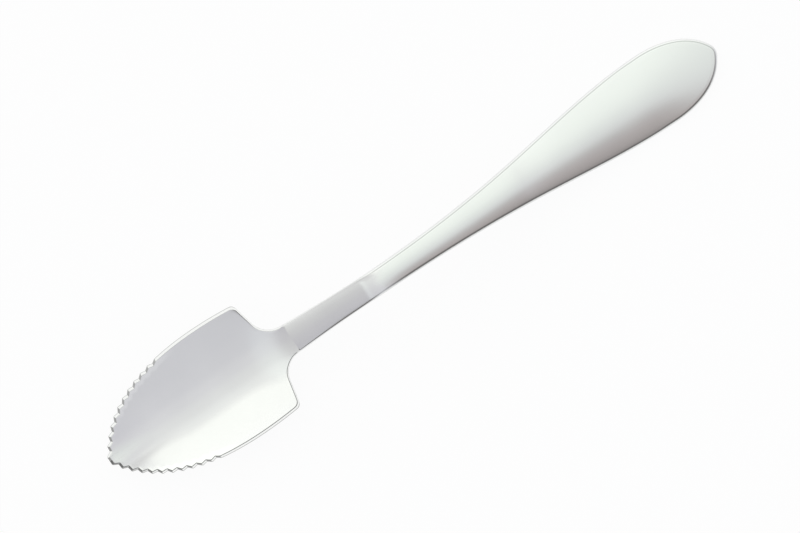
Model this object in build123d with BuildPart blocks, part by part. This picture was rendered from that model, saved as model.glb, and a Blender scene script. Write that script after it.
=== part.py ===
from build123d import *
import math
import os

# Grapefruit spoon lying face up. +X runs from the bowl tip to the handle end, +Z is up,
# and the origin is on the table under the middle of the spoon. Sizes are in millimetres
# and degrees, and a place that ends in "at" is measured along X from the tip of the bowl.

# Plan of the bowl
nose_flat = 1.8
bowl_widest_at = 31.0
bowl_width = 27.8
shoulder_at = 41.4
shoulder_inset = 0.6
shoulder_radius = 1.3
back_edge_slant = 11.5
neck_corner_radius = 5.0

# Plan of the neck and the grip
overall_length = 160.0
weld_at = 48.0
neck_root_width = 7.9
waist_at = 70.0
waist_width = 5.74
grip_width = 17.0
grip_to_end = 15.5

# Plan curves: the slant of each side at the nose and at the blunt point of the handle, and
# how far each curve follows the direction of its two ends, as a share of its run
nose_angle = 60.0
nose_pull = 0.26
bowl_side_pull = 0.58
waist_pull = 0.54
grip_pull = 0.3
grip_end_pull = 0.26
tip_angle = 63.0
tip_radius = 1.2
tip_pull = 0.45

# Pressed bowl: one sheet, curved along and across, lowest at the belly
sheet = 1.5
belly_at = 21.0
press_radius_along = 71.5
press_radius_across = 21.5

# Side view of the handle: the lip is its step over the sheet on each side of the weld, and
# the crest is the top of the bend where the straight neck turns down
weld_lip = 0.3
crest_at = 71.2
bend_radius = 12.0
waist_thickness = 3.2
grip_end_thickness = 2.0
rest_length = 14.0
crown_radius = 30.0
top_edge_radius = 0.45
under_edge_break = 0.3

# Serration on both sides of the nose, cut square to the sheet
teeth_per_side = 11
tooth_pitch = 2.25
notch_width = 1.95
notch_depth = 0.55

# Room beyond a finished face for the bodies that are cut back to it
overrun = 4.0

tip_x = -overall_length / 2
end_x = overall_length / 2
belly_x = tip_x + belly_at
weld_x = tip_x + weld_at
waist_x = tip_x + waist_at
crest_x = tip_x + crest_at
rest_x = end_x - rest_length

# The two press radii make a ring about a level axis over the belly. The weld plane passes
# through that axis, so it is square to the tail of the bowl.
press_axis = Axis((belly_x, 0, press_radius_along), (0, -1, 0))
ring_radius = press_radius_along - press_radius_across
inside_radius = press_radius_along - sheet
weld_slope = math.asin((weld_x - belly_x) / inside_radius)


# X and Z of a point of the middle plane, at a radius and an angle from the press axis
def on_press(radius, angle):
    return (belly_x + radius * math.sin(angle), press_radius_along - radius * math.cos(angle))


# Plane on the outside of the sheet at a point of the bowl's edge, with Y into the sheet
# and Z square to it. The hand is 1 for the +Y side of the bowl and -1 for the other.
def notch_plane(edge_point, edge_run, hand):
    reach = ring_radius + math.sqrt(press_radius_across**2 - edge_point.Y**2)
    angle = math.asin((edge_point.X - belly_x) / reach)
    outside_z = press_radius_along - reach * math.cos(angle)
    outside = Vector(edge_point.X, hand * edge_point.Y, outside_z)
    centre_x, centre_z = on_press(ring_radius, angle)
    square = Vector(centre_x, 0, centre_z) - outside
    inward = Vector(edge_run.Y, -hand * edge_run.X, 0)
    return Plane(origin=outside, x_dir=inward.cross(square), z_dir=square)


# Plans are drawn on a plane clear below the spoon and extruded up through it
below = Plane.XY.offset(-overrun)

# Corners of the plan on the +Y side that both pieces share
shoulder = Vector(tip_x + shoulder_at, bowl_width / 2 - shoulder_inset)
neck_root = Vector(shoulder.X, neck_root_width / 2)
waist = Vector(waist_x, waist_width / 2)

weld_top = on_press(inside_radius - weld_lip, weld_slope)
weld_under = on_press(press_radius_along + weld_lip, weld_slope)
weld_plane = Plane(
    origin=(weld_top[0], 0, weld_top[1]),
    x_dir=(0, 1, 0),
    z_dir=(math.cos(weld_slope), 0, math.sin(weld_slope)),
)

# Height of the middle of the bend: the top of the neck goes on from the tail of the bowl
bend_z = weld_top[1] + (crest_x - weld_top[0]) * math.tan(weld_slope)
bend_z -= bend_radius / math.cos(weld_slope)


# Where a straight line from a point of the weld runs into the bend at the given radius
def ramp_end(start, radius):
    run = crest_x - start[0]
    rise = bend_z - start[1]
    slope = math.atan2(rise, run) + math.asin(radius / math.hypot(run, rise))
    return (crest_x - radius * math.sin(slope), bend_z + radius * math.cos(slope))


with BuildPart() as bowl:
    # Plan of the blank: the shield, and the neck that is cut off at the weld
    with BuildSketch(below) as blank:
        nose = Vector(tip_x, nose_flat / 2)
        nose_run = Vector(1, 0).rotate(Axis.Z, nose_angle)
        widest = Vector(tip_x + bowl_widest_at, bowl_width / 2)
        back_x = shoulder.X + shoulder.Y * math.tan(math.radians(back_edge_slant))
        with BuildLine():
            Line((tip_x, 0), nose)
            side = Bezier(
                nose,
                nose + nose_run * nose_pull * bowl_widest_at,
                widest - Vector(bowl_side_pull * bowl_widest_at, 0),
                widest,
            )
            TangentArc(widest, shoulder, tangent=(1, 0))
            Line(shoulder, (back_x, 0))
            mirror(about=Plane.XZ)
        make_face()
        with BuildLine():
            Line((shoulder.X, 0), neck_root)
            TangentArc(waist, neck_root, tangent=(-1, 0))
            Line(waist, (waist_x, 0))
            mirror(about=Plane.XZ)
        make_face()
        fillet(blank.vertices().group_by(Axis.X)[3], neck_corner_radius)
        fillet(blank.vertices().group_by(Axis.X)[2], shoulder_radius)

    # Press form: a stretch of the ring, wide enough for the blank and open upwards
    form_half = bowl_width / 2 + overrun
    form_edge = -ring_radius - math.sqrt(press_radius_across**2 - form_half**2)
    form_start = -math.asin((belly_at + overrun) / inside_radius)
    form_end = math.asin((weld_x + overrun - belly_x) / inside_radius)
    form_plane = Plane(
        origin=press_axis.position,
        x_dir=(0, 1, 0),
        z_dir=(math.cos(form_start), 0, math.sin(form_start)),
    )
    with BuildSketch(form_plane):
        with BuildLine():
            ThreePointArc((-form_half, form_edge), (0, -press_radius_along), (form_half, form_edge))
            Polyline(
                (form_half, form_edge),
                (form_half, -ring_radius),
                (-form_half, -ring_radius),
                (-form_half, form_edge),
            )
        make_face()
    revolve(axis=press_axis, revolution_arc=math.degrees(form_end - form_start))
    extrude(blank.sketch, amount=press_radius_along, mode=Mode.INTERSECT)

    # The sheet is the under face of that form, thickened upwards and cut off at the weld
    under_face = bowl.faces().sort_by(Axis.Z)[0]
    thicken(under_face, amount=-sheet, mode=Mode.REPLACE)
    split(bisect_by=weld_plane, keep=Keep.BOTTOM)

    # Serration
    notch_planes = []
    for tooth in range(teeth_per_side):
        along = tooth_pitch * (tooth + 1) - nose_flat / 2
        edge_point = side.position_at(along, position_mode=PositionMode.LENGTH)
        edge_run = side.tangent_at(along, position_mode=PositionMode.LENGTH)
        for hand in (1, -1):
            notch_planes.append(notch_plane(edge_point, edge_run, hand))
    with BuildSketch(*notch_planes):
        Polygon(
            (0, notch_depth),
            (-notch_width, -notch_depth),
            (notch_width, -notch_depth),
            align=None,
        )
    extrude(amount=2 * sheet, both=True, mode=Mode.SUBTRACT)

bowl.part.label = "bowl"

with BuildPart() as handle:
    # Crowned bar along the top line: straight up from the weld, over the bend at the crest,
    # then down in an easy double curve to the level end
    crest = (crest_x, bend_z + bend_radius)
    with BuildLine(Plane.XZ) as top_line:
        top_middle = ((crest_x + rest_x) / 2, (crest[1] + grip_end_thickness) / 2)
        top_ramp = Line(weld_top, ramp_end(weld_top, bend_radius))
        TangentArc(top_ramp @ 1, crest, tangent=top_ramp % 1)
        top_fall = TangentArc(crest, top_middle, tangent=(1, 0))
        TangentArc(top_middle, (rest_x, grip_end_thickness), tangent=top_fall % 1)
        Line((rest_x, grip_end_thickness), (end_x + overrun, grip_end_thickness))
    with BuildSketch(weld_plane):
        bar_half = grip_width / 2 + overrun
        bar_edge = math.sqrt(crown_radius**2 - bar_half**2) - crown_radius
        bar_under = bar_edge - waist_thickness - overrun
        with BuildLine():
            ThreePointArc((-bar_half, bar_edge), (0, 0), (bar_half, bar_edge))
            Polyline(
                (bar_half, bar_edge),
                (bar_half, bar_under),
                (-bar_half, bar_under),
                (-bar_half, bar_edge),
            )
        make_face()
    sweep(path=top_line.wires()[0])

    # Under side, flat across, with a level face to rest on at the end
    with BuildSketch(Plane.XZ) as side_view:
        under_crest = (crest_x, crest[1] - waist_thickness)
        under_middle = ((crest_x + rest_x) / 2, under_crest[1] / 2)
        with BuildLine():
            under_ramp = Line(weld_under, ramp_end(weld_under, bend_radius - waist_thickness))
            TangentArc(under_ramp @ 1, under_crest, tangent=under_ramp % 1)
            under_fall = TangentArc(under_crest, under_middle, tangent=(1, 0))
            TangentArc(under_middle, (rest_x, 0), tangent=under_fall % 1)
            Polyline(
                (rest_x, 0),
                (end_x + overrun, 0),
                (end_x + overrun, press_radius_along),
                (weld_x - overrun, press_radius_along),
                (weld_x - overrun, weld_under[1]),
                weld_under,
            )
        make_face()
    extrude(side_view.sketch, amount=bar_half, both=True, mode=Mode.INTERSECT)

    # Plan outline, from the root of the neck to the end
    with BuildSketch(below) as plan:
        grip = Vector(end_x - grip_to_end, grip_width / 2)
        flare = grip.X - waist.X
        tip_run = Vector(1, 0).rotate(Axis.Z, -tip_angle)
        tip_middle = Vector(end_x - tip_radius, 0)
        tip_corner = tip_middle + tip_run.rotate(Axis.Z, 90) * tip_radius
        with BuildLine():
            Line((neck_root.X, 0), neck_root)
            TangentArc(waist, neck_root, tangent=(-1, 0))
            Bezier(
                waist,
                waist + Vector(waist_pull * flare, 0),
                grip - Vector(grip_pull * flare, 0),
                grip,
            )
            Bezier(
                grip,
                grip + Vector(grip_end_pull * grip_to_end, 0),
                tip_corner - tip_run * tip_pull * grip_to_end,
                tip_corner,
            )
            TangentArc(tip_corner, (end_x, 0), tangent=tip_run)
            mirror(about=Plane.XZ)
        make_face()
    extrude(plan.sketch, amount=press_radius_along, mode=Mode.INTERSECT)

    # Edges: rounded all along the top, and broken all along the under side
    walls = handle.faces().filter_by(lambda face: abs(face.normal_at().Z) < 0.1)
    top_faces = handle.faces().filter_by(lambda face: face.normal_at().Z > 0.8)
    fillet(walls.edges() & top_faces.edges(), top_edge_radius)
    walls = handle.faces().filter_by(lambda face: abs(face.normal_at().Z) < 0.1)
    under_faces = handle.faces().filter_by(lambda face: face.normal_at().Z < -0.8)
    chamfer(walls.edges() & under_faces.edges(), under_edge_break)

handle.part.label = "handle"

os.makedirs("parts", exist_ok=True)
export_step(bowl.part, "parts/bowl.step")
export_step(handle.part, "parts/handle.step")
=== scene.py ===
import math

import bmesh
import bpy
import numpy as np
from mathutils import Matrix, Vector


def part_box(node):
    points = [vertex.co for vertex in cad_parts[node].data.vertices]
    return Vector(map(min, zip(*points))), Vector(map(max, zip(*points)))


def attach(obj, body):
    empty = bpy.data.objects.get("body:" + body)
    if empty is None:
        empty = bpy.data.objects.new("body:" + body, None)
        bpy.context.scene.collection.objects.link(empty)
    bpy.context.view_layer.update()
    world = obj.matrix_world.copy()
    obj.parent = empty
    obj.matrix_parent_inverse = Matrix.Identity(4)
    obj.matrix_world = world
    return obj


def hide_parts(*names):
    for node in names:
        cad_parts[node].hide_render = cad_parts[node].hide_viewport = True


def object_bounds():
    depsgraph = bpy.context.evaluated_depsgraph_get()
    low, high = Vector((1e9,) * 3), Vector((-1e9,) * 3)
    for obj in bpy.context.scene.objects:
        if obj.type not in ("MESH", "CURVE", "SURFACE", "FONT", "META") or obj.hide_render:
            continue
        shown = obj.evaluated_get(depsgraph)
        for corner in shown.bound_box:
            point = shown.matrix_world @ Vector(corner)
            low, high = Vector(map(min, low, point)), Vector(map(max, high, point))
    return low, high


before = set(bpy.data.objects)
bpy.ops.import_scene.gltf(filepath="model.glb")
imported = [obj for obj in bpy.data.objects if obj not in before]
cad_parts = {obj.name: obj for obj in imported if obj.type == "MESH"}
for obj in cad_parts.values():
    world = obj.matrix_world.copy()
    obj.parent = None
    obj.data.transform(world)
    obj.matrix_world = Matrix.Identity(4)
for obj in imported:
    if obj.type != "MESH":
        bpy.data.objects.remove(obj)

# Lengths below are in millimetres with x measured from the tip of the bowl, as on a drawing.
# They go to metres, with the origin under the middle of the spoon, when a mesh is made.

cadLow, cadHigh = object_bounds()
bowlLow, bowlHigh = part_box("bowl")
handleLow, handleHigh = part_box("handle")
mm = 0.001
spoonLength = (cadHigh.x - cadLow.x) / mm
bowlWidth = (bowlHigh.y - bowlLow.y) / mm
gripWidth = (handleHigh.y - handleLow.y) / mm
print("frame loaded, spoon length", round(spoonLength, 2), "mm")

# What both pieces share: the press ring of the bowl, the weld plane through its axis, and
# the edge of the neck that runs through the weld
joint = dict(bellyAt=21.0, pressAlong=71.5, pressAcross=21.5, sheet=1.5, weldAt=48.0, weldLip=0.3,
             shoulderAt=41.4, neckRootWidth=7.9, waistAt=70.0, waistWidth=5.74, neckPoints=400)
ringRadius = joint["pressAlong"] - joint["pressAcross"]
weldSlope = math.asin((joint["weldAt"] - joint["bellyAt"]) / (joint["pressAlong"] - joint["sheet"]))
waist = np.array([joint["waistAt"], joint["waistWidth"] / 2])
neckRoot = np.array([joint["shoulderAt"], joint["neckRootWidth"] / 2])


# Cubic Bezier curve: four points weighted by the terms of (1 - t + t) to the third power
def bezier(a, b, c, d, count):
    t = np.linspace(0, 1, count)[:, None]
    a, b, c, d = (np.array(p, float) for p in (a, b, c, d))
    return a * (1 - t)**3 + 3 * b * t * (1 - t)**2 + 3 * c * t**2 * (1 - t) + d * t**3


# Circle that leaves a start point along x and passes through an end point: its radius is the
# chord squared over twice the rise
def levelArc(start, end, count):
    run, rise = end[0] - start[0], end[1] - start[1]
    radius = (run**2 + rise**2) / (2 * rise)
    centre = np.array([start[0], start[1] + radius])
    x = np.linspace(start[0], end[0], count)
    y = centre[1] - np.sign(radius) * np.sqrt(radius**2 - (x - centre[0])**2)
    return np.stack([x, y], 1), centre, abs(radius)


# Fillet between a line and a circle: its centre keeps the fillet radius from the line and the
# given distance from the circle's centre, so it solves one quadratic along the line
def cornerArc(linePoint, lineRun, lineSide, centre, distance, radius, count):
    shifted = linePoint + lineSide * radius - centre
    half = shifted @ lineRun
    along = -half + np.array([1, -1]) * math.sqrt(half**2 - shifted @ shifted + distance**2)
    along = along[np.argmin(np.abs(along))]
    middle = centre + shifted + lineRun * along
    onLine = middle - lineSide * radius
    towards = (middle - centre) / distance
    onCircle = middle + towards * radius * np.sign(np.linalg.norm(linePoint - centre) - distance)
    startAngle, endAngle = (math.atan2(*(p - middle)[::-1]) for p in (onLine, onCircle))
    sweep = (endAngle - startAngle + math.pi) % (2 * math.pi) - math.pi
    angle = startAngle + sweep * np.linspace(0, 1, count)
    return middle + radius * np.stack([np.cos(angle), np.sin(angle)], 1)


# Lengths walked along a line of points to each of them
def walkLengths(points):
    return np.concatenate([[0], np.cumsum(np.linalg.norm(np.diff(points, axis=0), axis=1))])


# Points along a line of points at the spacing that a function of its length gives
def walkAlong(points, spacing):
    length = walkLengths(points)
    along = np.concatenate([[0], np.cumsum(spacing(length[-1]))])
    along *= length[-1] / along[-1]
    walked = np.stack([np.interp(along, length, points[:, i]) for i in (0, 1)], 1)
    return walked, along


# Unit directions along a line of points
def directions(points, along=1.0):
    run = np.gradient(points, along, axis=0)
    return run / np.linalg.norm(run, axis=1, keepdims=True)


# Directions square to those along an outline, to its inside
def inwardFrom(run):
    return np.stack([run[:, 1], -run[:, 0]], 1)


# Smooth step from 0 to 1: three squares less two cubes
def smoothStep(part):
    return part**2 * (3 - 2 * part)


# Value held between two limits, with a rounded turn at each of them
def softClamp(value, low, high, turn):
    lower = low + 0.5 * (value - low + np.sqrt((value - low)**2 + turn**2))
    return high - 0.5 * (high - lower + np.sqrt((high - lower)**2 + turn**2))


# Columns of the +y side, then those of the -y side in reverse. Columns on the middle count once:
# the last one always, and as many of the first as the number says.
def bothSides(values, others, onMiddle=0):
    return np.concatenate([values, others[:, onMiddle:-1][:, ::-1]], axis=1)


# Distances here are in metres
skinLook = dict(mergeWithin=4e-7, dissolveWithin=1e-8, sharpAngle=50.0)


# Closed skin: each column starts on the core line on top, runs out to the outline, over the
# edge and back under to the core line. Columns wrap round, and points that meet are merged.
def skinMesh(name, points, marks):
    rows, columns = points.shape[:2]
    index = np.arange(rows * columns).reshape(rows, columns)
    right = np.roll(index, -1, axis=1)
    quads = np.stack([index[:-1], right[:-1], right[1:], index[1:]], -1).reshape(-1, 4)
    placed = points.reshape(-1, 3) * mm + np.array([cadLow.x, 0, 0])
    mesh = bpy.data.meshes.new(name)
    mesh.from_pydata(placed.tolist(), [], quads.tolist())
    for label, values in marks.items():
        layer = mesh.attributes.new(label, "FLOAT", "POINT")
        layer.data.foreach_set("value", np.broadcast_to(values, (rows, columns)).astype(np.float32).ravel())
    work = bmesh.new()
    work.from_mesh(mesh)
    bmesh.ops.remove_doubles(work, verts=work.verts, dist=skinLook["mergeWithin"])
    bmesh.ops.dissolve_degenerate(work, edges=work.edges, dist=skinLook["dissolveWithin"])
    openEdges = sum(1 for edge in work.edges if not edge.is_manifold)
    volume = work.calc_volume(signed=True) / mm**3
    work.to_mesh(mesh)
    work.free()
    mesh.polygons.foreach_set("use_smooth", np.ones(len(mesh.polygons), bool))
    mesh.set_sharp_from_angle(angle=math.radians(skinLook["sharpAngle"]))
    piece = bpy.data.objects.new(name, mesh)
    bpy.context.scene.collection.objects.link(piece)
    print(name, len(mesh.polygons), "faces,", openEdges, "open edges, volume", round(volume), "mm3")
    return piece


# Angles of the rows round an edge
def quarterTurns(count):
    return np.linspace(0, math.pi / 2, count + 1)


# Bowl

bowlLook = dict(noseFlat=1.8, widestAt=31.0, shoulderInset=0.6, shoulderRadius=1.3, backEdgeSlant=11.5,
                neckCornerRadius=5.0, noseAngle=60.0, nosePull=0.26, sidePull=0.58,
                teethPerSide=11, toothPitch=2.25, notchWidth=1.95, notchDepth=0.55, notchRound=0.07,
                edgeRound=0.16, edgeRows=6, wallRows=5, coreFrom=13.0, coreTo=35.0, coreTurn=3.0,
                fineStep=0.07, coarseStep=0.3, skinRows=14, skinCrowd=1.15,
                # rimLines, footLines, toothShades, noseShade and noseDark are strengths of painted shade
                rimLines=(0.2, 0.85), footLines=(0.35, 0.6), footTurn=1.0, toothShades=(0.8, 1.0),
                toothFade=0.2, flankGain=1.7, noseShade=0.95, noseDark=1.0, noseReach=12.0,
                noseLean=-0.15, rimLean=0.3, leanBlend=4.0, bevel=0.6, bevelFrom=8.0, bevelBlend=4.0,
                sidePoints=900, cheekPoints=120, earPoints=40, throatPoints=80, weldPoints=30)


# Distance from the press axis to the underside of the sheet, at a place across it
def pressReach(y):
    return ringRadius + np.sqrt(joint["pressAcross"]**2 - y**2)


# Pressed sheet: a ring surface round a level axis over the belly. A plan point gives the point
# under the sheet, and the lift goes from there towards the ring's middle line, square to it.
def pressedSheet(x, y, lift):
    reach = pressReach(y)
    angle = np.arcsin((x - joint["bellyAt"]) / reach)
    under = np.stack([x, y, joint["pressAlong"] - reach * np.cos(angle)], -1)
    middle = np.stack([joint["bellyAt"] + ringRadius * np.sin(angle), 0 * y,
                       joint["pressAlong"] - ringRadius * np.cos(angle)], -1)
    return under + (middle - under) * (lift / joint["pressAcross"])[..., None]


# Plan of the blank on the +y side, from the middle of the nose to the middle of the weld
def bowlOutline(look):
    nose = np.array([0, look["noseFlat"] / 2])
    widest = np.array([look["widestAt"], bowlWidth / 2])
    slant = math.radians(look["noseAngle"])
    noseRun = np.array([math.cos(slant), math.sin(slant)])
    side = bezier(nose, nose + noseRun * look["nosePull"] * look["widestAt"],
                  widest - np.array([look["sidePull"] * look["widestAt"], 0]), widest, look["sidePoints"])
    shoulder = np.array([joint["shoulderAt"], bowlWidth / 2 - look["shoulderInset"]])
    cheek, cheekCentre, cheekRadius = levelArc(widest, shoulder, look["cheekPoints"])
    back = math.radians(look["backEdgeSlant"])
    backRun = np.array([math.sin(back), -math.cos(back)])
    backOut = np.array([math.cos(back), math.sin(back)])
    ear = cornerArc(shoulder, backRun, -backOut, cheekCentre, cheekRadius - look["shoulderRadius"],
                    look["shoulderRadius"], look["earPoints"])[::-1]
    neck, neckCentre, neckRadius = levelArc(waist, neckRoot, joint["neckPoints"])
    backFoot = shoulder + backRun * (shoulder[1] - neckRoot[1]) / math.cos(back)
    throat = cornerArc(backFoot, backRun, backOut, neckCentre, neckRadius - look["neckCornerRadius"],
                       look["neckCornerRadius"], look["throatPoints"])
    neck = neck[::-1]
    beforeWeld = neck[:, 0] < joint["bellyAt"] + pressReach(neck[:, 1]) * math.sin(weldSlope)
    tail = neck[(neck[:, 0] > throat[-1, 0]) & beforeWeld]
    weldY = np.linspace(tail[-1, 1], 0, look["weldPoints"])
    weldX = joint["bellyAt"] + pressReach(weldY) * math.sin(weldSlope)
    cheek = cheek[cheek[:, 0] < ear[0, 0]]
    weld = np.stack([weldX, weldY], 1)
    return np.concatenate([[[0, 0]], side, cheek[1:], ear, throat, tail, weld[1:]])


# Notch depth at a distance from a notch's middle: a V with a rounded foot and rounded corners
def notchProfile(offset, look):
    foot = np.sqrt(offset**2 + look["notchRound"]**2) - look["notchRound"]
    rise = 1 - foot / (look["notchWidth"] / 2)
    corner = look["notchRound"] / 2
    return look["notchDepth"] * 0.5 * (rise + np.sqrt(rise**2 + corner**2))


def makeBowl(look):
    serrated = look["noseFlat"] / 2 + look["toothPitch"] * (look["teethPerSide"] + 0.5)

    def spacing(total):
        fine = np.full(int(serrated / look["fineStep"]), look["fineStep"])
        coarse = np.full(int((total - serrated) / look["coarseStep"]), look["coarseStep"])
        return np.concatenate([fine, coarse])

    half, along = walkAlong(bowlOutline(look), spacing)
    inward = inwardFrom(directions(half, along))
    centres = look["toothPitch"] * (np.arange(look["teethPerSide"]) + 1)
    nearest = np.abs(along[:, None] - centres[None]).min(1)
    bite = np.where(along < serrated, notchProfile(nearest, look), 0)

    # A notch is as deep along the slope of the sheet, so it is shorter in plan
    sheetSlope = np.abs(half[:, 1]) / np.sqrt(joint["pressAcross"]**2 - half[:, 1]**2)
    sheetSlope = sheetSlope * np.abs(inward[:, 1])
    bitten = half + inward * (bite / np.sqrt(1 + sheetSlope**2))[:, None]
    run = directions(bitten)
    run[0] = (0, 1)
    run[-1] = (0, -1)
    inward = inwardFrom(run)
    coreX = softClamp(half[:, 0], look["coreFrom"], look["coreTo"], look["coreTurn"])
    core = np.stack([coreX, 0 * along], 1)

    turn = quarterTurns(look["edgeRows"])
    wall = np.zeros(look["wallRows"])
    free = np.where(along < along[-1] - joint["neckRootWidth"] / 2, 1, 0)[None]
    inset = np.concatenate([1 - np.sin(turn), wall, 1 - np.cos(turn)])
    inset = look["edgeRound"] * inset[:, None] * free
    topDrop = look["edgeRound"] * (1 - np.cos(turn))
    underLift = look["edgeRound"] * (1 - np.sin(turn))
    between = np.linspace(joint["sheet"] - topDrop[-1], underLift[0], look["wallRows"] + 2)[1:-1]
    lift = np.concatenate([joint["sheet"] - topDrop, between, underLift])
    share = np.linspace(1, 0, look["skinRows"], endpoint=False)**look["skinCrowd"]

    # The wall of the rim leans out at the nose, and away from it stands more and more upright
    # than square to the sheet
    begun = np.clip(along / serrated, 0, 1)
    ended = np.clip((along[-1] - joint["neckRootWidth"] / 2 - along) / look["leanBlend"], 0, 1)
    lean = look["noseLean"] + (look["rimLean"] - look["noseLean"]) * smoothStep(begun)
    lean = lean * smoothStep(ended)
    inset = inset - lift[:, None] / joint["sheet"] * lean[None]
    rim = bitten + inward * inset[:1].T
    underRim = bitten + inward * inset[-1:].T
    topRows = rim[None] + (core - rim)[None] * share[:, None, None]
    edgeRows = bitten[None] + inward[None] * inset[..., None]
    underRows = underRim[None] + (core - underRim)[None] * share[::-1, None, None]
    plan = np.concatenate([topRows, edgeRows, underRows])
    lifts = np.concatenate([np.full(len(share), joint["sheet"]), lift, np.zeros(len(share))])

    # Marks: the ground wall of the rim, and painted shade on its two arrises and in the gullets,
    # where the flank that faces the nose is darkest. The painted shade on the arrises is darker on
    # the -y side.
    none = 0 * share
    ground = np.concatenate([none, np.sin(turn)**2, wall + 1, np.cos(turn)**2, none])[:, None] * free
    upper = np.concatenate([none, np.sin(2 * turn), wall, 0 * turn, none])
    lastWall = np.where(np.arange(look["wallRows"]) == look["wallRows"] - 1, 1, 0)
    foot = np.maximum(np.sin(2 * turn), turn < look["footTurn"])
    lower = np.concatenate([none, 0 * turn, lastWall, foot, none])
    flankShade = -np.gradient(bite, along) * look["flankGain"] * look["notchWidth"] / (2 * look["notchDepth"])
    flankShade = np.clip(flankShade, 0, 1) * (1 - look["toothFade"] * np.clip(along / serrated, 0, 1))
    flankShade = np.maximum(flankShade, np.where(along < look["noseFlat"] / 2, look["noseShade"], 0))
    # Painted shade on the wall near the nose, on the -y side only, fading away from the nose
    nosePaintedShade = look["noseDark"] * np.clip(1 - along / look["noseReach"], 0, 1)
    sides = zip(look["rimLines"], look["footLines"], look["toothShades"], (0, nosePaintedShade))
    shades = [free * np.maximum(np.maximum(rimLine * upper, footLine * lower)[:, None],
                                ground * np.maximum(tooth * flankShade, dark))
              for rimLine, footLine, tooth, dark in sides]

    # A band inside the teeth is ground too, and blends in and out along the rim
    band = np.concatenate([np.where(share == share[-1], 1, 0), np.where(turn == 0, 1, 0), wall,
                           0 * turn, none])
    bandFrom, bandBlend = look["bevelFrom"], look["bevelBlend"]
    bandStops = [bandFrom, bandFrom + bandBlend, serrated, serrated + bandBlend]
    banded = np.interp(along, bandStops, [0, 1, 1, 0])
    cut = np.maximum(ground, look["bevel"] * band[:, None] * banded)

    plan = bothSides(plan, plan * np.array([1, -1]), 1)
    points = pressedSheet(plan[..., 0], plan[..., 1], np.broadcast_to(lifts[:, None], plan.shape[:2]))
    marks = {"cutEdge": bothSides(cut, cut, 1), "edgeShade": bothSides(*shades, 1)}
    return skinMesh("bowlSheet", points, marks)


# Handle

handleLook = dict(crestAt=71.2, bendRadius=12.0, waistThickness=3.2, endThickness=2.0, restLength=14.0,
                  crownRadius=36.0, crownPower=1.1, endFlat=4.0, flatLead=6.0, crownSteps=3,
                  topRound=0.7, rampRound=0.5, roundBlend=6.0, roundShare=0.9, underRound=0.3,
                  gripToEnd=15.5, waistPull=0.54, gripPull=0.3, gripEndPull=0.26, tipAngle=63.0,
                  tipRadius=2.6, tipShort=0.17, tipPull=0.45, polishLoss=0.015, weldBlend=6.0, leanSteps=4,
                  coreTo=151.0, coreTurn=3.0, step=0.3, tipStep=0.12, skinRows=10, edgeRows=10, wallRows=5,
                  # edgeLine and lowShade are strengths of painted shade
                  edgeLine=0.75, lineCrowd=8.0, lowShade=0.6, lowFade=8.0, flarePoints=900, tipPoints=400,
                  roundPoints=60)


# Height and slope of a line in side view: straight up from the weld, round the bend over its
# middle at the given radius, then two equal arcs down to the level end
def sideLine(x, start, bend, radius, rest):
    run, rise = bend[0] - start[0], bend[1] - start[1]
    slope = math.atan2(rise, run) + math.asin(radius / math.hypot(run, rise))
    crestZ = bend[1] + radius
    halfRun, halfFall = (rest[0] - bend[0]) / 2, (crestZ - rest[1]) / 2
    fall = (halfRun**2 + halfFall**2) / (2 * halfFall)
    back, front, foot = bend[0] - x, x - bend[0], rest[0] - x
    bendAngle = np.arcsin(np.clip(back / radius, 0, math.sin(slope)))
    overAngle = np.arcsin(np.clip(front / fall, 0, 1))
    downAngle = np.arcsin(np.clip(foot / fall, 0, 1))
    ramp = back > radius * math.sin(slope)
    over = front < halfRun
    height = np.where(over, crestZ - fall * (1 - np.cos(overAngle)),
                      rest[1] + fall * (1 - np.cos(downAngle)))
    height = np.where(back > 0, bend[1] + radius * np.cos(bendAngle), height)
    height = np.where(ramp, start[1] + (x - start[0]) * math.tan(slope), height)
    angle = np.where(back > 0, bendAngle, np.where(over, -overAngle, -downAngle))
    return height, angle


# Point of the weld plane at a distance from the press axis
def onWeld(distance):
    return (joint["bellyAt"] + distance * math.sin(weldSlope),
            joint["pressAlong"] - distance * math.cos(weldSlope))


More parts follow.
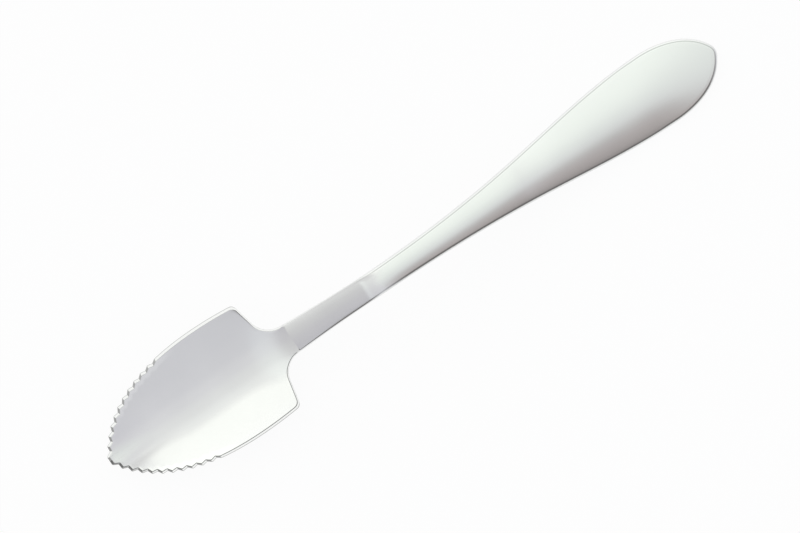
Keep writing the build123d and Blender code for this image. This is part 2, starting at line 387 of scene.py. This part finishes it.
def makeHandle(look):
    weldTop = onWeld(joint["pressAlong"] - joint["sheet"] - joint["weldLip"])
    weldUnder = onWeld(joint["pressAlong"] + joint["weldLip"])
    bendZ = (weldTop[1] + (look["crestAt"] - weldTop[0]) * math.tan(weldSlope)
             - look["bendRadius"] / math.cos(weldSlope))
    bend = (look["crestAt"], bendZ)
    rest = (spoonLength - look["restLength"], look["endThickness"])
    weldX = (weldTop[0] + weldUnder[0]) / 2

    # Crowned top: the drop of a circle across, whose radius goes with a power of the width and
    # grows from a little before the grip to the end. It is square to the side line, so the foot
    # on the line is found by stepping back against the slope.
    def topHeight(x, y):
        width = np.where(x < grip[0], np.interp(x, half[:, 0], half[:, 1]), grip[1])
        lead = look["flatLead"]
        beyond = np.clip((x - grip[0] + lead) / (look["gripToEnd"] + lead), 0, 1)
        crown = look["crownRadius"] * (width / grip[1])**look["crownPower"]
        crown = crown * (1 + look["endFlat"] * beyond**2)
        drop = crown - np.sqrt(crown**2 - y**2)
        foot = x
        for _ in range(look["crownSteps"]):
            foot = x - drop * np.sin(sideLine(foot, weldTop, bend, look["bendRadius"], rest)[1])
        height, angle = sideLine(foot, weldTop, bend, look["bendRadius"], rest)
        return height - drop * np.cos(angle) - look["polishLoss"]

    def underHeight(x):
        radius = look["bendRadius"] - look["waistThickness"]
        return sideLine(x, weldUnder, bend, radius, (rest[0], 0.0))[0]

    neck = levelArc(waist, neckRoot, joint["neckPoints"])[0][::-1]
    neck = neck[neck[:, 0] > weldX]
    neck[0, 0] = weldX
    grip = np.array([spoonLength - look["gripToEnd"], gripWidth / 2])
    flareRun = np.array([grip[0] - waist[0], 0])
    flare = bezier(waist, waist + look["waistPull"] * flareRun, grip - look["gripPull"] * flareRun, grip,
                   look["flarePoints"])
    tipTurn = np.linspace(math.radians(90 - look["tipAngle"]), 0, look["roundPoints"])[:, None]
    tipRun = np.array([math.sin(tipTurn[0, 0]), -math.cos(tipTurn[0, 0])])
    tipCentre = np.array([spoonLength - look["tipShort"] - look["tipRadius"], 0])
    point = tipCentre + look["tipRadius"] * np.concatenate([np.cos(tipTurn), np.sin(tipTurn)], axis=1)
    tip = bezier(grip, grip + np.array([look["gripEndPull"] * look["gripToEnd"], 0]),
                 point[0] - tipRun * look["tipPull"] * look["gripToEnd"], point[0],
                 look["tipPoints"])
    lengthTo = walkLengths(np.concatenate([neck, flare[1:]]))[-1]

    def spacing(total):
        bar = np.full(int(lengthTo / look["step"]), look["step"])
        end = np.full(int((total - lengthTo) / look["tipStep"]), look["tipStep"])
        return np.concatenate([bar, end])

    half, along = walkAlong(np.concatenate([neck, flare[1:], tip[1:], point[1:]]), spacing)
    run = directions(half, along)
    run[-1] = (0, -1)
    inward = inwardFrom(run)
    inward[0] = (0, -1)
    core = np.minimum(half[:, 0], softClamp(half[:, 0], 0, look["coreTo"], look["coreTurn"]))
    core = np.stack([core, 0 * along], 1)
    core[0, 0] = half[0, 0]

    turn = quarterTurns(look["edgeRows"])
    share = np.linspace(1, 0, look["skinRows"], endpoint=False)

    # The top edge is rounder on the handle than on the ramp, as far as the thickness allows
    onHandle = np.clip((half[:, 0] - look["crestAt"]) / look["roundBlend"] + 1, 0, 1)
    left = topHeight(half[:, 0], half[:, 1]) - underHeight(half[:, 0]) - look["underRound"]
    topRound = look["rampRound"] + (look["topRound"] - look["rampRound"]) * onHandle
    topRound = np.minimum(topRound, look["roundShare"] * left)
    topRim = half + inward * topRound[:, None]
    underRim = half + inward * look["underRound"]
    topRows = topRim[None] + (core - topRim)[None] * share[:, None, None]
    underRows = (underRim[None] + (core - underRim)[None] * share[:, None, None])[::-1]
    topEdge = half[None] + inward[None] * (topRound[None] * (1 - np.sin(turn))[:, None])[..., None]
    underEdge = half[None] + inward[None] * (look["underRound"] * (1 - np.cos(turn)))[:, None, None]
    topDrop = np.concatenate([0 * share, 1 - np.cos(turn)])[:, None] * topRound[None]
    underLift = np.concatenate([look["underRound"] * (1 - np.sin(turn)), 0 * share])
    topPlan = np.concatenate([topRows, topEdge])
    underPlan = np.concatenate([underEdge, underRows])

    # Near the weld the plan leans with the weld plane, by less and less over the blend
    def leaned(x, z):
        planeX = joint["bellyAt"] + (joint["pressAlong"] - z) * math.tan(weldSlope)
        return x + (planeX - weldX) * np.clip(1 - (x - weldX) / look["weldBlend"], 0, 1)**2

    topX, underX = topPlan[..., 0], underPlan[..., 0]
    for _ in range(look["leanSteps"]):
        topZ = topHeight(topX, topPlan[..., 1]) - topDrop
        topX = leaned(topPlan[..., 0], topZ)
        underZ = underHeight(underX) + underLift[:, None]
        underX = leaned(underPlan[..., 0], underZ)
    top = np.stack([topX, topPlan[..., 1], topZ], -1)
    under = np.stack([underX, underPlan[..., 1], underZ], -1)
    down = np.linspace(0, 1, look["wallRows"] + 2)[1:-1, None, None]
    wall = top[-1][None] * (1 - down) + under[0][None] * down
    points = np.concatenate([top, wall, under])

    # Marks: the ground wall, a painted dark line where the crown turns into the edge beyond the
    # ramp, and painted shade low on the edge on the -y side
    none, sides = 0 * share, np.zeros(look["wallRows"])
    ground = np.concatenate([none, np.sin(turn)**4, sides + 1, np.cos(turn)**2, none])
    ground = ground[:, None] * np.ones(len(along))
    crownEnd = np.sin(np.clip(look["lineCrowd"] * turn, 0, math.pi))
    paintedLine = np.concatenate([none, crownEnd, sides, 0 * turn, none])
    lowHalf = np.sin(np.clip(2 * turn - math.pi / 2, 0, math.pi))
    low = np.concatenate([none, lowHalf, sides, 0 * turn, none])
    paintedLine = look["edgeLine"] * paintedLine[:, None] * onHandle
    fade = onHandle * np.clip((spoonLength - half[:, 0]) / look["lowFade"], 0, 1)
    shade = np.maximum(paintedLine, look["lowShade"] * low[:, None] * fade)

    points = bothSides(points, points * np.array([1, -1, 1]))
    marks = {"cutEdge": bothSides(ground, ground), "edgeShade": bothSides(paintedLine, shade)}
    return skinMesh("handleBar", points, marks)


# Finish of the steel

# Node group with its input sockets and their values, and its output sockets
def newGroup(name, takes, gives):
    group = bpy.data.node_groups.new(name, "ShaderNodeTree")
    for label, kind, value in takes:
        socket = group.interface.new_socket(label, in_out="INPUT", socket_type="NodeSocket" + kind)
        socket.default_value = value
    for label, kind in gives:
        group.interface.new_socket(label, in_out="OUTPUT", socket_type="NodeSocket" + kind)
    return group, group.nodes.new("NodeGroupInput"), group.nodes.new("NodeGroupOutput")


def mathNode(nodes, operation, clamped=False):
    node = nodes.new("ShaderNodeMath")
    node.operation, node.use_clamp = operation, clamped
    return node


# Fine polishing lines along the spoon, and a soft cloudiness from wiping
polishLook = dict(stretch=(0.05, 1, 1), lineDetail=4, cloudDetail=3,
                  tints=((0.3, (0.775, 0.78, 0.775, 1)), (0.7, (0.815, 0.82, 0.812, 1))))


def polishGroup(look):
    group, inputs, outputs = newGroup(
        "polishedSteel",
        (("Line Scale", "Float", 900.0), ("Cloud Scale", "Float", 60.0), ("Roughness", "Float", 0.2),
         ("Spread", "Float", 0.06)),
        (("Color", "Color"), ("Roughness", "Float"), ("Height", "Float")))
    nodes, link = group.nodes, group.links.new
    place = nodes.new("ShaderNodeTexCoord")
    stretch = nodes.new("ShaderNodeMapping")
    stretch.inputs["Scale"].default_value = look["stretch"]
    lines, clouds = nodes.new("ShaderNodeTexNoise"), nodes.new("ShaderNodeTexNoise")
    lines.inputs["Detail"].default_value = look["lineDetail"]
    clouds.inputs["Detail"].default_value = look["cloudDetail"]
    link(place.outputs["Object"], stretch.inputs["Vector"])
    link(stretch.outputs["Vector"], lines.inputs["Vector"])
    link(inputs.outputs["Line Scale"], lines.inputs["Scale"])
    link(place.outputs["Object"], clouds.inputs["Vector"])
    link(inputs.outputs["Cloud Scale"], clouds.inputs["Scale"])

    # Roughness: the two noises, less their mean of one, times the spread, plus the base
    both, centred = mathNode(nodes, "ADD"), mathNode(nodes, "SUBTRACT")
    link(lines.outputs["Fac"], both.inputs[0])
    link(clouds.outputs["Fac"], both.inputs[1])
    link(both.outputs["Value"], centred.inputs[0])
    centred.inputs[1].default_value = 1.0
    rough = mathNode(nodes, "MULTIPLY_ADD")
    link(centred.outputs["Value"], rough.inputs[0])
    link(inputs.outputs["Spread"], rough.inputs[1])
    link(inputs.outputs["Roughness"], rough.inputs[2])
    tint = nodes.new("ShaderNodeValToRGB")
    for element, (at, color) in zip(tint.color_ramp.elements, look["tints"]):
        element.position, element.color = at, color
    link(clouds.outputs["Fac"], tint.inputs["Fac"])
    link(tint.outputs["Color"], outputs.inputs["Color"])
    link(rough.outputs["Value"], outputs.inputs["Roughness"])
    link(lines.outputs["Fac"], outputs.inputs["Height"])
    return group


# Ground edge and painted shade: the cut wall is paler and rougher, and painted shade darkens its
# arrises and gullets. A mix node takes numbers at its sockets 2 and 3 and colours at 6 and 7, and
# gives them at 0 and 2.
def edgeAndShadeGroup():
    group, inputs, outputs = newGroup(
        "groundEdgeAndPaintedShade",
        (("Color", "Color", (0.8, 0.8, 0.8, 1)), ("Roughness", "Float", 0.2),
         ("Wall Color", "Color", (0.9, 0.9, 0.9, 1)), ("Wall Roughness", "Float", 0.3),
         ("Shade Color", "Color", (0.2, 0.2, 0.2, 1))),
        (("Color", "Color"), ("Roughness", "Float")))
    nodes, link = group.nodes, group.links.new
    cut, dark = nodes.new("ShaderNodeAttribute"), nodes.new("ShaderNodeAttribute")
    cut.attribute_name, dark.attribute_name = "cutEdge", "edgeShade"
    wall, shade = nodes.new("ShaderNodeMix"), nodes.new("ShaderNodeMix")
    rough = nodes.new("ShaderNodeMix")
    wall.data_type = shade.data_type = "RGBA"
    link(cut.outputs["Fac"], wall.inputs["Factor"])
    link(inputs.outputs["Color"], wall.inputs[6])
    link(inputs.outputs["Wall Color"], wall.inputs[7])
    link(dark.outputs["Fac"], shade.inputs["Factor"])
    link(wall.outputs[2], shade.inputs[6])
    link(inputs.outputs["Shade Color"], shade.inputs[7])
    link(cut.outputs["Fac"], rough.inputs["Factor"])
    link(inputs.outputs["Roughness"], rough.inputs[2])
    link(inputs.outputs["Wall Roughness"], rough.inputs[3])
    link(shade.outputs[2], outputs.inputs["Color"])
    link(rough.outputs[0], outputs.inputs["Roughness"])
    return group


# Steel of one piece: the polish goes through the ground edge and its painted shade, and its lines are a
# faint bump
def steelMaterial(name, polishing, grindingAndShade, look):
    material = bpy.data.materials.new(name)
    material.use_nodes = True
    nodes, link = material.node_tree.nodes, material.node_tree.links.new
    surface = nodes["Principled BSDF"]
    surface.inputs["Metallic"].default_value = 1.0
    polish, edge = nodes.new("ShaderNodeGroup"), nodes.new("ShaderNodeGroup")
    polish.node_tree, edge.node_tree = polishing, grindingAndShade
    bump = nodes.new("ShaderNodeBump")
    for node, label, key in ((polish, "Line Scale", "lineScale"), (polish, "Cloud Scale", "cloudScale"),
                             (polish, "Roughness", "roughness"), (polish, "Spread", "spread"),
                             (edge, "Wall Color", "wallColor"), (edge, "Wall Roughness", "wallRoughness"),
                             (edge, "Shade Color", "shadeColor"), (bump, "Strength", "bump"),
                             (bump, "Distance", "bumpDepth")):
        node.inputs[label].default_value = look[key]
    link(polish.outputs["Color"], edge.inputs["Color"])
    link(polish.outputs["Roughness"], edge.inputs["Roughness"])
    link(polish.outputs["Height"], bump.inputs["Height"])
    link(edge.outputs["Color"], surface.inputs["Base Color"])
    link(edge.outputs["Roughness"], surface.inputs["Roughness"])
    link(bump.outputs["Normal"], surface.inputs["Normal"])
    return material


bowlSheet = makeBowl(bowlLook)
handleBar = makeHandle(handleLook)
polishing, grindingAndShade = polishGroup(polishLook), edgeAndShadeGroup()
# The shade colours are those of the painted shade on the edges
bowlSteel = dict(lineScale=900.0, cloudScale=70.0, roughness=0.13, spread=0.05, wallRoughness=0.25,
                 wallColor=(0.93, 0.94, 0.92, 1), shadeColor=(0.012, 0.011, 0.009, 1),
                 bump=0.1, bumpDepth=0.00002)
handleSteel = dict(lineScale=1100.0, cloudScale=50.0, roughness=0.17, spread=0.05, wallRoughness=0.25,
                   wallColor=(0.9, 0.91, 0.9, 1), shadeColor=(0.35, 0.36, 0.35, 1),
                   bump=0.1, bumpDepth=0.00002)
for piece, node, look in ((bowlSheet, "bowl", bowlSteel), (handleBar, "handle", handleSteel)):
    piece.data.materials.append(steelMaterial(node + "Steel", polishing, grindingAndShade, look))
    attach(piece, "root")
    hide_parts(node)
print("pieces dressed")

# Studio

floorLook = dict(half=1.5, drop=0.0002, color=(0.98, 0.98, 0.98, 1), roughness=0.9, ownWhite=0.9)


# Pale floor: partly its own white to the camera and in reflections, partly lit, so that the
# shadow of the spoon stays on it
def makeFloor(look):
    half, level = look["half"], -look["drop"]
    mesh = bpy.data.meshes.new("floor")
    corners = [(-half, -half, level), (half, -half, level), (half, half, level), (-half, half, level)]
    mesh.from_pydata(corners, [], [(0, 1, 2, 3)])
    floor = bpy.data.objects.new("floor", mesh)
    bpy.context.scene.collection.objects.link(floor)
    material = bpy.data.materials.new("paleFloor")
    material.use_nodes = True
    nodes, link = material.node_tree.nodes, material.node_tree.links.new
    surface = nodes["Principled BSDF"]
    surface.inputs["Base Color"].default_value = look["color"]
    surface.inputs["Roughness"].default_value = look["roughness"]
    surface.inputs["Specular IOR Level"].default_value = 0.0
    white = nodes.new("ShaderNodeEmission")
    white.inputs["Strength"].default_value = 1.0
    path = nodes.new("ShaderNodeLightPath")
    seen = path.outputs["Is Camera Ray"]
    for ray in ("Is Glossy Ray", "Is Transmission Ray"):
        either = mathNode(nodes, "ADD", clamped=True)
        link(seen, either.inputs[0])
        link(path.outputs[ray], either.inputs[1])
        seen = either.outputs["Value"]
    part = mathNode(nodes, "MULTIPLY")
    part.inputs[1].default_value = look["ownWhite"]
    link(seen, part.inputs[0])
    mix = nodes.new("ShaderNodeMixShader")
    link(part.outputs["Value"], mix.inputs["Fac"])
    link(surface.outputs["BSDF"], mix.inputs[1])
    link(white.outputs["Emission"], mix.inputs[2])
    link(mix.outputs["Shader"], nodes["Material Output"].inputs["Surface"])
    floor.data.materials.append(material)


# Stops are (direction along y, level, tint). The second stops, along x, dim the sky's two ends and
# hold a pale band that the bend of the neck reflects.
skyLook = dict(level=1.3, dimLevel=1.05,
               stops=((-1.0, 0.74, (0.985, 0.985, 1.035)), (-0.82, 0.75, (0.985, 0.985, 1.035)),
                      (-0.42, 0.775, (0.985, 0.985, 1.03)), (-0.17, 0.83, (0.99, 0.99, 1.02)),
                      (0.09, 0.90, (0.99, 1.0, 1.0)), (0.34, 1.02, (0.985, 1.0, 0.985)),
                      (0.62, 1.14, (0.985, 1.0, 0.975)), (1.0, 1.25, (0.99, 1.0, 0.985))),
               dims=((-1.0, 0.79, (1.0, 0.985, 1.0)), (-0.69, 0.79, (1.0, 0.985, 1.0)),
                     (-0.62, 1.05, (0.985, 1.0, 0.995)), (-0.56, 1.05, (0.985, 1.0, 0.995)),
                     (-0.49, 0.97, (1.0, 1.0, 1.0)), (-0.1, 1.0, (1.0, 1.0, 1.0)),
                     (0.15, 1.0, (1.0, 1.0, 1.0)), (0.42, 0.95, (1.0, 0.995, 1.01)),
                     (1.0, 0.95, (1.0, 0.995, 1.01))))


# Ramp over a direction from -1 to 1, with its stops as parts of the given level
def directionRamp(nodes, link, direction, stops, level):
    shift = nodes.new("ShaderNodeMapRange")
    shift.inputs["From Min"].default_value = -1
    shift.inputs["From Max"].default_value = 1
    ramp = nodes.new("ShaderNodeValToRGB")
    ramp.color_ramp.interpolation = "EASE"
    for at, *_ in stops[1:-1]:
        ramp.color_ramp.elements.new((at + 1) / 2)
    for element, (at, share, tint) in zip(ramp.color_ramp.elements, stops):
        element.position = (at + 1) / 2
        element.color = (*(share / level * part for part in tint), 1)
    link(direction, shift.inputs["Value"])
    link(shift.outputs["Result"], ramp.inputs["Fac"])
    return ramp.outputs["Color"]


# Soft light all round: a sky that is brightest on the +y side and falls off to the other
def makeSky(look):
    world = bpy.data.worlds.new("studioSky")
    bpy.context.scene.world = world
    world.use_nodes = True
    nodes, link = world.node_tree.nodes, world.node_tree.links.new
    sky = nodes["Background"]
    sky.inputs["Strength"].default_value = look["level"] * look["dimLevel"]
    place = nodes.new("ShaderNodeTexCoord")
    split = nodes.new("ShaderNodeSeparateXYZ")
    dimmed = nodes.new("ShaderNodeVectorMath")
    dimmed.operation = "MULTIPLY"
    link(place.outputs["Generated"], split.inputs["Vector"])
    link(directionRamp(nodes, link, split.outputs["Y"], look["stops"], look["level"]), dimmed.inputs[0])
    link(directionRamp(nodes, link, split.outputs["X"], look["dims"], look["dimLevel"]), dimmed.inputs[1])
    link(dimmed.outputs["Vector"], sky.inputs["Color"])


# Cards that only reflections see. Lengths are in metres. Stops across a card are (place, level,
# tint, cover), with the place an angle for the tunnel, and stops along x are (place, cover).
tunnelLook = dict(grid=(177, 112), radius=0.11, axisHeight=0.008, lead=0.035, leadAngle=12.0,
                  lean=3.7, twist=12.0,
                  stops=((-88, 1.20, (0.98, 1.0, 0.98), 1), (-45, 1.18, (0.965, 1.0, 0.96), 1),
                         (-23, 1.14, (0.955, 1.0, 0.95), 1), (-16, 1.11, (0.955, 1.0, 0.95), 1),
                         (-10, 1.07, (0.955, 1.0, 0.955), 1), (-7, 1.03, (0.955, 1.0, 0.96), 1),
                         (-3, 0.97, (0.96, 1.0, 0.965), 1), (3, 0.89, (0.965, 1.0, 0.985), 1),
                         (7, 0.81, (0.98, 1.0, 1.0), 1), (9.5, 0.73, (0.995, 1.0, 1.0), 1),
                         (12, 0.60, (1.02, 1.0, 1.0), 1), (15, 0.53, (1.05, 1.0, 1.0), 1),
                         (20, 0.47, (1.08, 1.0, 0.99), 1), (27, 0.39, (1.09, 1.0, 0.99), 1),
                         (35, 0.27, (1.08, 1.0, 0.99), 1), (45, 0.22, (1.05, 1.0, 0.99), 1),
                         (70, 0.22, (1.03, 1.0, 0.99), 1), (88, 0.36, (1.0, 1.0, 1.0), 1)),
                  along=((-0.045, 0), (-0.015, 0.75), (0.0, 1), (0.12, 1), (0.135, 0.5), (0.17, 0.5),
                         (0.2, 0)))
neckCardLook = dict(grid=(37, 41), away=0.022,
                    along=((-0.054, 0), (-0.046, 1), (-0.026, 1), (-0.014, 0)),
                    stops=((0.008, 0.2, (1.06, 1.0, 1.0), 0), (0.014, 0.16, (1.06, 1.0, 1.0), 1),
                           (0.034, 0.2, (1.06, 1.0, 1.0), 1), (0.044, 0.3, (1.0, 1.0, 1.0), 0)))
paleCardLook = dict(neckCardLook, away=-0.022,
                    stops=((0.008, 0.8, (1.0, 1.0, 1.0), 0), (0.014, 0.8, (1.0, 1.0, 1.0), 1),
                           (0.08, 0.8, (1.0, 1.0, 1.0), 1), (0.1, 0.8, (1.0, 1.0, 1.0), 0)))
softboxLook = dict(grid=(251, 202), height=0.2,
                   stops=((0.0, 1.08, (0.985, 1.0, 0.975), 0), (0.012, 1.13, (0.985, 1.0, 0.97), 0.6),
                          (0.04, 1.22, (0.985, 1.0, 0.965), 1), (0.5, 1.24, (0.99, 1.0, 0.975), 1)),
                   along=((-0.4, 0), (-0.35, 1), (-0.006, 1), (0.003, 0)),
                   foot=((-0.4, 0.4), (-0.2, 0.142), (-0.15, 0.082), (-0.127, 0.074), (-0.054, 0.072),
                         (-0.02, 0.044), (0.003, 0.032)))


# Grid of a card from a function that places it, with its stops read across and along
def makeCard(name, look, place):
    rows, columns = look["grid"]
    at, level, tint, cover = (np.array(part) for part in zip(*look["stops"]))
    x, shown = (np.array(part) for part in zip(*look["along"]))
    across, along = np.meshgrid(np.linspace(at[0], at[-1], rows), np.linspace(x[0], x[-1], columns),
                                indexing="ij")
    points = place(across, along)
    glow = np.stack([np.interp(across, at, level * tint[:, i]) for i in (0, 1, 2)], -1)
    covered = np.interp(across, at, cover) * np.interp(along, x, shown)
    index = np.arange(rows * columns).reshape(rows, columns)
    quads = np.stack([index[:-1, :-1], index[:-1, 1:], index[1:, 1:], index[1:, :-1]], -1).reshape(-1, 4)
    mesh = bpy.data.meshes.new(name)
    mesh.from_pydata(points.reshape(-1, 3).tolist(), [], quads.tolist())
    layer = mesh.attributes.new("glow", "FLOAT_VECTOR", "POINT")
    layer.data.foreach_set("vector", glow.astype(np.float32).ravel())
    layer = mesh.attributes.new("cover", "FLOAT", "POINT")
    layer.data.foreach_set("value", covered.astype(np.float32).ravel())
    card = bpy.data.objects.new(name, mesh)
    bpy.context.scene.collection.objects.link(card)
    card.visible_camera = card.visible_diffuse = card.visible_shadow = False
    material = bpy.data.materials.new(name + "Paper")
    material.use_nodes = True
    nodes, link = material.node_tree.nodes, material.node_tree.links.new
    nodes.remove(nodes["Principled BSDF"])
    light, clear = nodes.new("ShaderNodeEmission"), nodes.new("ShaderNodeBsdfTransparent")
    mix = nodes.new("ShaderNodeMixShader")
    glowMark, coverMark = nodes.new("ShaderNodeAttribute"), nodes.new("ShaderNodeAttribute")
    glowMark.attribute_name, coverMark.attribute_name = "glow", "cover"
    link(glowMark.outputs["Vector"], light.inputs["Color"])
    link(coverMark.outputs["Fac"], mix.inputs["Fac"])
    link(clear.outputs["BSDF"], mix.inputs[1])
    link(light.outputs["Emission"], mix.inputs[2])
    link(mix.outputs["Shader"], nodes["Material Output"].inputs["Surface"])
    mesh.materials.append(material)


# Half tunnel over the handle, a cylinder along x, pale on its +y side and dark on the other.
# Over the bend of the neck its crown reaches further than its sides, and its shades are twisted
# to the -y side.
def makeTunnel(look):
    def place(across, along):
        front = np.clip(along / look["along"][0][0], 0, 1)
        shifted = across + look["twist"] * front
        turn = np.radians(shifted + look["lean"])
        back = (1 - np.exp(-(shifted / look["leadAngle"])**2)) * front
        return np.stack([along + look["lead"] * back, -look["radius"] * np.sin(turn),
                         look["axisHeight"] + look["radius"] * np.cos(turn)], -1)

    makeCard("lightTunnel", look, place)


# Small upright card beside the neck, on the -y side where its distance away is above zero
def makeNeckCard(name, look):
    def place(across, along):
        return np.stack([along, 0 * along - look["away"], across], -1)

    makeCard(name, look, place)


# Level softbox over the +y side of the bowl, from its foot line outwards
def makeSoftbox(look):
    def place(across, along):
        foot = np.interp(along, *zip(*look["foot"]))
        return np.stack([along, across + foot, look["height"] + 0 * along], -1)

    makeCard("softbox", look, place)


cameraLook = dict(height=1.2, imageWidth=800, imageMiddle=(400.0, 266.5), tipPixel=(110.5, 461.0),
                  endPixel=(715.8, 49.0), sensor=36.0, lean=2.4, pivotHeight=0.0045,
                  clip=(0.05, 20.0))


# Camera above, turned so that the tip and the end of the spoon fall on their pixels, then leant
# a little to the +y side about the line of the spoon
def makeCamera(look):
    tip, end = np.array(look["tipPixel"]), np.array(look["endPixel"])
    span = end - tip
    pixel = spoonLength * mm / np.hypot(*span)
    turn = math.atan2(span[1], span[0])
    right = np.array([math.cos(turn), math.sin(turn)])
    down = np.array([math.sin(turn), -math.cos(turn)])
    shift = np.array(look["imageMiddle"]) - (tip + end) / 2
    centre = (shift[0] * right + shift[1] * down) * pixel
    camera = bpy.data.cameras.new("camera")
    camera.sensor_width = look["sensor"]
    camera.lens = look["sensor"] * look["height"] / (look["imageWidth"] * pixel)
    camera.clip_start, camera.clip_end = look["clip"]
    eye = bpy.data.objects.new("camera", camera)
    straight = Matrix.Translation((*centre, look["height"])) @ Matrix.Rotation(turn, 4, "Z")
    pivot = Matrix.Translation((0, 0, look["pivotHeight"]))
    leant = pivot @ Matrix.Rotation(-math.radians(look["lean"]), 4, "X") @ pivot.inverted()
    eye.matrix_world = leant @ straight
    bpy.context.scene.collection.objects.link(eye)
    bpy.context.scene.camera = eye


makeFloor(floorLook)
makeSky(skyLook)
makeTunnel(tunnelLook)
makeNeckCard("neckCard", neckCardLook)
makeNeckCard("paleCard", paleCardLook)
makeSoftbox(softboxLook)
makeCamera(cameraLook)
bpy.context.scene.view_settings.view_transform = "Standard"
print("studio set")
